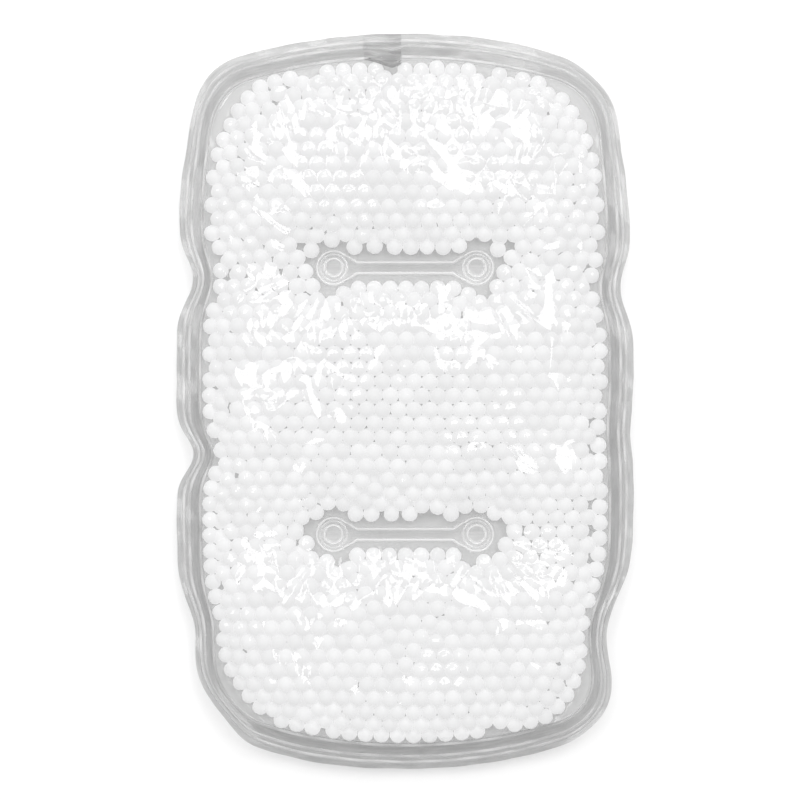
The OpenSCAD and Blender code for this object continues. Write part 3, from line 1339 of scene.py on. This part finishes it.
@dataclass
class FilmSheet:
    """One film inside the rim, made as two halves that meet across the middle of the pack."""

    shape: PackShape
    drape: Drape
    material: bpy.types.Material
    slot: str
    cell: float = 0.56
    probe: float = 0.02

    def plan(self) -> Array:
        """Grid over the upper half of the flat chamber.

        Returns:
            Places as rows x columns x 2, whose rows bow into the end's arc.
        """
        s = self.shape
        radius = s.corner_radius - s.weld_width
        bow_radius = s.end_radius - s.weld_width
        half = bow_radius * math.cos(s.corner_sweep)
        columns = int(2 * (s.half_width - s.weld_width) / self.cell)
        u = np.linspace(-1, 1, columns + 1)
        bow = np.sqrt(bow_radius**2 - (u * half) ** 2) - bow_radius * math.sin(s.corner_sweep)
        straight = np.linspace(0, s.corner_y, int(s.corner_y / self.cell))
        reach = s.half_width - s.weld_width
        rows = [np.column_stack([u * reach, np.full_like(u, y)]) for y in straight]
        turns = int(radius * s.corner_sweep / self.cell)
        for i in range(1, turns + 1):
            turn = s.corner_sweep * i / turns
            wide = s.corner_x + radius * math.cos(turn)
            far = s.corner_y + radius * math.sin(turn) + bow * i / turns
            rows.append(np.column_stack([u * wide, far]))
        return np.array(rows)

    def build(self) -> list[bpy.types.Object]:
        """Makes both halves, upper first.

        Returns:
            The two pieces.
        """
        plan = self.plan()
        whole = np.concatenate([(plan * [1, -1])[:0:-1], plan])
        x, y = whole[..., 0], whole[..., 1]
        moved = self.shape.pinched(x, y)
        points = np.dstack([moved, y, self.drape.at(moved, y)])
        rim = np.zeros(points.shape[:2], bool)
        rim[0] = rim[-1] = rim[:, 0] = rim[:, -1] = True
        points[rim, 2] = self.shape.seam + self.drape.face.value * self.shape.film
        along = np.gradient(points, axis=0)
        across = np.gradient(points, axis=1)
        normal = np.cross(across, along)
        normal /= np.linalg.norm(normal, axis=2)[..., None]
        normal *= self.drape.face.value
        middle = len(plan) - 1
        halves = []
        for half, rows in ((Half.UPPER, slice(middle, None)), (Half.LOWER, slice(0, middle + 1))):
            halves.append(self.half(half, points[rows], normal[rows]))
        return halves

    def half(self, half: Half, points: Array, normal: Array) -> bpy.types.Object:
        """Makes one half, opens it round its fold weld and gives it its normals.

        Args:
            half: Which half.
            points: Its grid of places.
            normal: Its outward normals on that grid.

        Returns:
            The piece.
        """
        if self.drape.face is Face.BACK:
            points, normal = points[:, ::-1], normal[:, ::-1]
        piece = grid_piece(f"{self.drape.face.word}_film_{half.word}", points)
        mesh = piece.data
        store = mesh.attributes.new("film_normal", "FLOAT_VECTOR", "POINT")
        store.data.foreach_set("vector", normal.reshape(-1, 3).astype(np.float32).ravel())
        self.open_round_weld(piece, points.reshape(-1, 3))
        mesh.shade_smooth()
        kept = np.zeros(len(mesh.vertices) * 3, np.float32)
        mesh.attributes["film_normal"].data.foreach_get("vector", kept)
        mesh.attributes.remove(mesh.attributes["film_normal"])
        mesh.normals_split_custom_set_from_vertices([tuple(n) for n in kept.reshape(-1, 3)])
        mesh.materials.append(self.material)
        bend_at_fold(piece)
        side, part = self.drape.face.word, half.word
        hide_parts(f"{part}_{side}_film", f"{part}_fold_{side}_film", f"centre_{side}_film")
        return piece

    def open_round_weld(self, piece: bpy.types.Object, places: Array) -> None:
        """Cuts the film away over the fold weld, and draws the cut's edge on to the weld's outline.

        Args:
            piece: The half.
            places: Places of its vertices, as count x 3.
        """
        s, mesh, step = self.shape, piece.data, self.probe
        gap = s.weld_gap(places[:, 0], places[:, 1])
        corners = np.array([tuple(p.vertices) for p in mesh.polygons])
        gone = (gap[corners] < 0).sum(1) >= 3
        kept_corner = np.zeros(len(gap), bool)
        kept_corner[corners[~gone].ravel()] = True
        gone_corner = np.zeros(len(gap), bool)
        gone_corner[corners[gone].ravel()] = True
        border = kept_corner & gone_corner
        border |= kept_corner & (gap < 0)
        for _ in range(4):
            px, py = places[border, 0], places[border, 1]
            g = s.weld_gap(px, py)
            gx = (s.weld_gap(px + step, py) - s.weld_gap(px - step, py)) / (2 * step)
            gy = (s.weld_gap(px, py + step) - s.weld_gap(px, py - step)) / (2 * step)
            size = np.maximum(gx**2 + gy**2, 1e-6)
            places[border, 0] -= g * gx / size
            places[border, 1] -= g * gy / size
        places[border, 2] = s.seam + self.drape.face.value * s.film
        mesh.vertices.foreach_set("co", (places * MM).astype(np.float32).ravel())
        deselect_all()
        piece.select_set(True)
        bpy.context.view_layer.objects.active = piece
        bpy.ops.object.mode_set(mode="EDIT")
        bpy.ops.mesh.select_mode(type="FACE")
        bpy.ops.mesh.select_all(action="DESELECT")
        bpy.ops.object.mode_set(mode="OBJECT")
        mesh.polygons.foreach_set("select", gone)
        bpy.ops.object.mode_set(mode="EDIT")
        bpy.ops.mesh.delete(type="FACE")
        bpy.ops.object.mode_set(mode="OBJECT")


# ---- Welds ----


@dataclass
class RimWeld:
    """The fused rim: a thin band with the die's ridges, which ripples and droops as limp film does.

    ridges are the ridges' distances in from the edge. port_low and port_high are the filling
    port's sides across the pack.
    """

    shape: PackShape
    material: bpy.types.Material
    joint: bpy.types.Material
    port_low: float
    port_high: float
    ridges: tuple[float, ...] = (1.8, 3.3, 6.1)
    ridge_height: float = 0.09
    ridge_width: float = 0.3
    droop: float = 0.8
    ripple: float = 0.3
    tongue_x: float = -3.4
    tongue_reach: float = 6.5
    tongue_depth: float = 2.7
    cell: float = 0.7
    half_run: float = 330

    def outline(self, inset: float, share: Array) -> Array:
        """Points of the upper half's outline, from the right side over the end to the left.

        Args:
            inset: Distance inwards from the rim.
            share: Places along the line, from 0 to 1.

        Returns:
            Places on the flat plan as count x 2.
        """
        s = self.shape
        sweep = s.corner_sweep
        side = s.corner_y
        corner = (s.corner_radius - s.weld_width) * sweep
        end = (s.end_radius - s.weld_width) * (math.pi / 2 - sweep)
        length = side + corner + end
        run = np.where(share > 0.5, 1 - share, share) * 2 * length
        radius = s.corner_radius - inset
        bow = s.end_radius - inset
        turn = np.clip((run - side) / corner, 0, 1) * sweep
        far = sweep + np.clip((run - side - corner) / end, 0, 1) * (math.pi / 2 - sweep)
        on_side = np.column_stack([np.full_like(run, s.half_width - inset), run])
        on_corner = np.column_stack(
            [s.corner_x + radius * np.cos(turn), s.corner_y + radius * np.sin(turn)]
        )
        on_end = np.column_stack([bow * np.cos(far), bow * np.sin(far) - s.end_centre])
        place = np.where((run < side)[:, None], on_side, on_corner)
        place = np.where((run > side + corner)[:, None], on_end, place)
        place[:, 0] *= np.where(share > 0.5, -1, 1)
        return place

    def band(
        self, name: str, half: Half, low: float, high: float, drape: Drape | None = None
    ) -> bpy.types.Object:
        """Makes a stretch of the rim between two places along the outline.

        Args:
            name: Name of the piece.
            half: Which half of the pack.
            low: First place, from 0 to 1.
            high: Last place.
            drape: The front film, if a pointed tongue runs in over it.

        Returns:
            The piece, with its thickness.
        """
        s = self.shape
        count = max(8, int((high - low) * self.half_run / self.cell))
        share = np.linspace(low, high, count + 1)
        rows, painted_highlights = [], []
        for inset in self.section():
            place = self.outline(inset, share)
            place[:, 1] *= half.value
            if drape is not None:
                away = np.abs(place[:, 0] - self.tongue_x) / self.tongue_reach
                tongue = np.clip(1 - away, 0, 1)
                place[:, 1] -= self.tongue_depth * tongue * (inset / s.weld_width) ** 2
            x, y = s.pinched(place[:, 0], place[:, 1]), place[:, 1]
            ridge = self.ridge_at(inset)
            corner = smoothstep((np.abs(x) - 26) / 16) * smoothstep((np.abs(y) - 58) / 16)
            z = s.seam + s.film + ridge - self.droop_at(inset, place, x, corner)
            if drape is not None:
                free = y < s.half_length - s.weld_width - 0.4
                z = np.where(free, np.maximum(z, drape.at(x, y) + 0.1), z)
            rows.append(np.column_stack([x, y, z]))
            # Painted highlight on the ridges: patchy along the rim, and weaker at the corners.
            slow, quick = np.sin(y * 0.23 - x * 0.29), np.sin(x * 0.33 + y * 0.45 + inset * 2.0)
            patchy = 0.6 + 0.4 * quick * slow
            painted_highlights.append(ridge / self.ridge_height * patchy * (1 - 0.5 * corner))
        points, frost = np.array(rows), np.array(painted_highlights)
        if half is Half.UPPER:
            points, frost = points[:, ::-1], frost[:, ::-1]
        piece = grid_piece(name, points)
        stretch_uvs(piece, (high - low) * self.half_run, s.weld_width)
        store_values(piece, "frost", frost)
        apply_modifier(
            piece, "SOLIDIFY", thickness=2 * s.film * MM, offset=-1.0, use_even_offset=False
        )
        shade_smooth(piece, 40)
        piece.data.materials.append(self.material)
        piece.data.materials.append(self.joint)
        for face in piece.data.polygons:
            stations = {corner % (count + 1) for corner in face.vertices}
            face.material_index = int(stations in ({0}, {count}))
        return piece

    def section(self) -> Array:
        """Insets of the band's rows: even ones, and five over each ridge.

        Returns:
            The insets, from the edge inwards.
        """
        side = np.array([-1, -0.5, 0, 0.5, 1]) * self.ridge_width
        insets = [np.linspace(0, self.shape.weld_width, 15)]
        insets += [ridge + side for ridge in self.ridges]
        insets = np.unique(np.concatenate(insets))
        return insets[(insets >= 0) & (insets <= self.shape.weld_width)]

    def ridge_at(self, inset: float) -> float:
        """Works out how high the die's ridges stand at an inset.

        Args:
            inset: Distance in from the edge.

        Returns:
            The height.
        """
        return sum(
            self.ridge_height * np.clip(1 - abs(inset - ridge) / self.ridge_width, 0, 1)
            for ridge in self.ridges
        )

    def droop_at(self, inset: float, place: Array, x: Array, corner: Array) -> Array:
        """Works out how far the limp band hangs below the seam, with its ripples.

        Args:
            inset: Distance in from the edge.
            place: Places on the flat plan.
            x: Places across the pack, once drawn in.
            corner: Where the corners are, from 0 to 1, which stay stiffer.

        Returns:
            The depths.
        """
        s, y = self.shape, place[:, 1]
        wave = (
            np.sin(x * 0.21 + y * 0.17 + 1.0)
            + 0.8 * np.sin(y * 0.37 - x * 0.11 + 2.2)
            + 0.5 * np.sin(x * 0.53 + y * 0.61)
        )
        drawn = s.draw_in(place[:, 0], y) * (abs(place[:, 0]) / s.half_width) ** 3
        sag = (self.droop - self.ripple * wave) * (1 - 0.85 * corner) - 0.3 * drawn
        outward = (s.weld_width - inset) / s.weld_width
        return outward**1.3 * sag

    def place_of(self, x: float) -> float:
        """Finds the place along the upper outline where the end's arc is at x.

        Args:
            x: Distance across the pack.

        Returns:
            The place, from 0 to 1.
        """
        s = self.shape
        sweep = s.corner_sweep
        end = (s.end_radius - s.weld_width) * (math.pi / 2 - sweep)
        length = s.corner_y + (s.corner_radius - s.weld_width) * sweep + end
        past = math.asin(x / s.end_radius) / (math.pi / 2 - sweep) * end
        return 0.5 - past / (2 * length)

    def build(self, port_material: bpy.types.Material, drape: Drape) -> list[bpy.types.Object]:
        """Makes both halves of the rim and the weld that closes the filling port.

        Args:
            port_material: The port weld's finish.
            drape: The front film, which the port's tongue lies on.

        Returns:
            The pieces.
        """
        near, far = self.place_of(self.port_high), self.place_of(self.port_low)
        right = self.band("rim_weld_upper", Half.UPPER, 0.0, near)
        left = self.band("rim_weld_upper_left", Half.UPPER, far, 1.0)
        port = self.band("filling_port_weld", Half.UPPER, near, far, drape)
        port.data.materials[0] = port_material
        lower = self.band("rim_weld_lower", Half.LOWER, 0.0, 1.0)
        deselect_all()
        left.select_set(True)
        right.select_set(True)
        bpy.context.view_layer.objects.active = right
        bpy.ops.object.join()
        for piece, half in ((right, Half.UPPER), (lower, Half.LOWER)):
            part = half.word
            bend_at_fold(piece)
            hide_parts(f"{part}_edge_weld", f"{part}_fold_edge_weld", "centre_edge_weld")
        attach(port, "upper_panel")
        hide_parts("fill_port_seal")
        return [right, lower, port]


@dataclass
class FoldWeld:
    """A dog-bone weld: a bar with a ring at each end, raised lines round both, and two eyes."""

    shape: PackShape
    material: bpy.types.Material
    line_height: float = 0.3
    line_width: float = 0.34
    line_inset: float = 0.4
    eye_radius: float = 2.35
    outer_eye: float = 1.1
    outer_eye_height: float = 0.5
    outer_eye_inset: float = 0.8
    cell: float = 0.24
    widest: float = 9.0
    tip_gap: float = 0.004
    columns: int = 45

    def build(self, half: Half) -> bpy.types.Object:
        """Makes one weld.

        Args:
            half: Which half of the pack it is in.

        Returns:
            The piece.
        """
        s = self.shape
        reach = s.ring_reach + s.ring_radius
        xs, widths = self.outline()
        across = np.linspace(-1, 1, self.columns)
        x = np.repeat(xs[None, :], len(across), 0)
        y = across[:, None] * widths[None, :]
        line = self.raised(x, y)
        z = s.seam + s.film + self.line_height * smoothstep(line)
        points = np.dstack([x, half.value * s.fold_y + y, z])
        piece = grid_piece(f"fold_weld_{half.word}", points)
        stretch_uvs(piece, 2 * reach, 2 * s.ring_radius)
        # The raised lines carry a painted highlight.
        store_values(piece, "frost", line)
        apply_modifier(
            piece, "SOLIDIFY", thickness=2 * s.film * MM, offset=-1.0, use_even_offset=False
        )
        shade_smooth(piece, 50)
        piece.data.materials.append(self.material)
        bend_at_fold(piece)
        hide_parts(f"{half.word}_fold_weld")
        return piece

    def outline(self) -> tuple[Array, Array]:
        """Traces the weld's outline, with closer stations round the tips.

        Returns:
            Stations across the pack, and half the weld's width at each.
        """
        s = self.shape
        turn = np.linspace(0, math.pi / 2, 16)[1:-1]
        tip = s.ring_reach + s.ring_radius * np.sin(turn)
        inner = np.arange(0, s.ring_reach, self.cell)
        right = np.concatenate([inner, tip, [s.ring_reach + s.ring_radius - self.tip_gap]])
        xs = np.concatenate([-right[:0:-1], right])
        low, high = np.zeros_like(xs), np.full_like(xs, self.widest)
        for _ in range(24):
            mid = (low + high) / 2
            inside = s.weld_gap(xs, s.fold_y + mid) < 0
            low, high = np.where(inside, mid, low), np.where(inside, high, mid)
        return xs, low

    def raised(self, x: Array, y: Array) -> Array:
        """Draws the stamp's raised lines: one inside the outline, and two eyes in each ring.

        Args:
            x: Places across the pack.
            y: Places along the pack, from the middle of the weld.

        Returns:
            The lines' height, from 0 to 1.
        """
        s = self.shape
        gap = s.weld_gap(x, s.fold_y + y)
        ring = np.hypot(np.abs(x) - s.ring_reach, y)
        away = np.abs(ring - self.eye_radius - self.outer_eye)
        outer = np.clip(1 - away / self.line_width, 0, 1) * (gap < -self.outer_eye_inset)
        line = np.maximum(
            np.clip(1 - np.abs(gap + self.line_inset) / self.line_width, 0, 1),
            np.clip(1 - np.abs(ring - self.eye_radius) / self.line_width, 0, 1),
        )
        return np.maximum(line, self.outer_eye_height * outer)


# ---- The whole pack ----


@dataclass
class EyePillow:
    """Every piece of the pack; the panels' beads and the filling port go on the bodies of its CAD
    frame.
    """

    shape: PackShape

    def build(self) -> list[bpy.types.Object]:
        """Builds and dresses all pieces.

        Returns:
            The pieces.
        """
        shape = self.shape
        # Calendered film as it comes off the roll: nearly clear, so the beads show white.
        clear = VinylFilm("Clear PVC film", "F9F9F9").build()
        # The same film with pigment in it, for the back: the eye sees a pale smoky grey.
        smoke = VinylFilm("Smoke PVC film", "F6F6F6", milk=0.5).build()
        # Both films melted together by a hot die: a grey band with fine streaks along it, and a
        # painted highlight on its ridges.
        fused = FusedVinyl("Fused PVC film", "E8E8E8", "DEDEDE", 0.3, 0.008, 0.03, 0.42).build()
        # Pressed by a small engraved stamp: flatter, and its raised lines are painted white as a
        # painted highlight.
        plate = FusedVinyl("Stamped PVC weld", "F7F7F7", "F2F2F2", 0.4, 0.01, 0.07, 0.6).build()
        # Closed by a second pass of the die after filling: darker, with coarser streaks.
        port = FusedVinyl(
            "Closed PVC filling port", "E6E6E6", "CCCCCC", 0.45, 0.015, 0.02, 0.3
        ).build()
        # Grains swollen in water: a soft cloudy white, with a painted glow for the light that the
        # gel passes on.
        gel = GelBead().build()
        fill = BeadFill(shape)
        fill.lay()
        makers = CreaseMaker(shape)
        front = Drape(shape, Face.FRONT, np.concatenate([fill.front, fill.middle]))
        back = Drape(shape, Face.BACK, np.concatenate([fill.back, fill.front, fill.middle]))
        front.solve(makers.front())
        back.solve(makers.back())
        pieces = self.bead_pieces(fill, gel)
        pieces += FilmSheet(shape, front, clear, "clear_film").build()
        pieces += FilmSheet(shape, back, smoke, "smoke_film").build()
        rim = RimWeld(shape, fused, UnbrokenVinyl().build(), port_low=-11.0, port_high=-1.0)
        pieces += rim.build(port, front)
        pieces += [FoldWeld(shape, plate).build(half) for half in Half]
        return pieces

    def bead_pieces(self, fill: BeadFill, gel: bpy.types.Material) -> list[bpy.types.Object]:
        """Shares the beads out among the panels and the two strips that bend.

        Args:
            fill: The beads' places.
            gel: Their finish.

        Returns:
            One piece for each panel and strip.
        """
        s = self.shape
        places = np.concatenate([fill.front, fill.back, fill.middle])
        y = places[:, 1]
        low, high = s.fold_y - s.strip_half, s.fold_y + s.strip_half
        centre = fill.build("beads_centre", places[np.abs(y) < low], gel)
        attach(centre, "centre_panel")
        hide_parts("centre_bead_fill")
        pieces = [centre]
        for half in Half:
            part = half.word
            end = fill.build(f"beads_{part}", places[y * half.value > high], gel)
            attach(end, f"{part}_panel")
            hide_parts(f"{part}_bead_fill")
            chosen = (y * half.value >= low) & (y * half.value <= high)
            strip = fill.build(f"beads_{part}_fold", places[chosen], gel)
            bend_at_fold(strip)
            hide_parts(f"{part}_fold_bead_fill")
            pieces += [end, strip]
        return pieces


@dataclass(frozen=True)
class Softbox:
    """A square softbox that looks at the pack: its place and side in metres, its power in watts."""

    name: str
    place: tuple[float, float, float]
    side: float
    watts: float

    def build(self) -> None:
        """Adds the lamp."""
        data = bpy.data.lights.new(self.name, "AREA")
        data.shape = "SQUARE"
        data.size = self.side
        data.energy = self.watts
        lamp = bpy.data.objects.new(self.name, data)
        x, y, z = self.place
        lamp.location = self.place
        lamp.rotation_euler = (
            math.atan2(math.hypot(x, y), z),
            0,
            math.atan2(y, x) + math.pi / 2,
        )
        bpy.context.scene.collection.objects.link(lamp)


@dataclass
class Studio:
    """White card, soft lamps and a camera that looks straight down.

    frame_width is what the camera takes in across the pack, at the height of level.
    """

    frame_width: float = 207.1
    lens: float = 110.0
    shift_x: float = -1.3
    shift_y: float = 0.3
    level: float = 5.4
    card_side: float = 3.0
    sky: float = 0.62
    lamps: tuple[Softbox, ...] = (
        Softbox("key_softbox", (0.28, 0.34, 0.90), 0.48, 3.3),
        Softbox("side_softbox", (-0.36, 0.26, 0.90), 0.42, 2.4),
        Softbox("top_softbox", (0.0, 0.84, 0.58), 0.42, 2.0),
    )

    def build(self) -> None:
        """Adds the floor, the lights, the world and the camera."""
        deselect_all()
        bpy.ops.mesh.primitive_plane_add(size=self.card_side)
        floor = bpy.context.active_object
        floor.name = floor.data.name = "white_card"
        floor.data.materials.append(StudioSweep().build())
        world = bpy.data.worlds.new("Soft studio")
        world.use_nodes = True
        sky = world.node_tree.nodes["Background"]
        sky.inputs["Color"].default_value = (1, 1, 1, 1)
        sky.inputs["Strength"].default_value = self.sky
        bpy.context.scene.world = world
        for lamp in self.lamps:
            lamp.build()
        camera = bpy.data.cameras.new("camera")
        camera.lens = self.lens
        camera.clip_start = 0.01
        viewer = bpy.data.objects.new("camera", camera)
        distance = self.frame_width * MM * self.lens / camera.sensor_width
        viewer.location = (self.shift_x * MM, self.shift_y * MM, distance + self.level * MM)
        bpy.context.scene.collection.objects.link(viewer)
        bpy.context.scene.camera = viewer
        bpy.context.scene.view_settings.view_transform = "Standard"


def main() -> None:
    """Builds the pack and its studio, and reports each piece."""
    logging.basicConfig(level=logging.INFO, format="%(name)s: %(message)s")
    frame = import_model()
    pillow = EyePillow(PackShape.from_frame(frame))
    for piece in pillow.build():
        LOG.info("%s: %d faces", piece.name, len(piece.data.polygons))
    Studio().build()


if __name__ == "__main__":
    main()
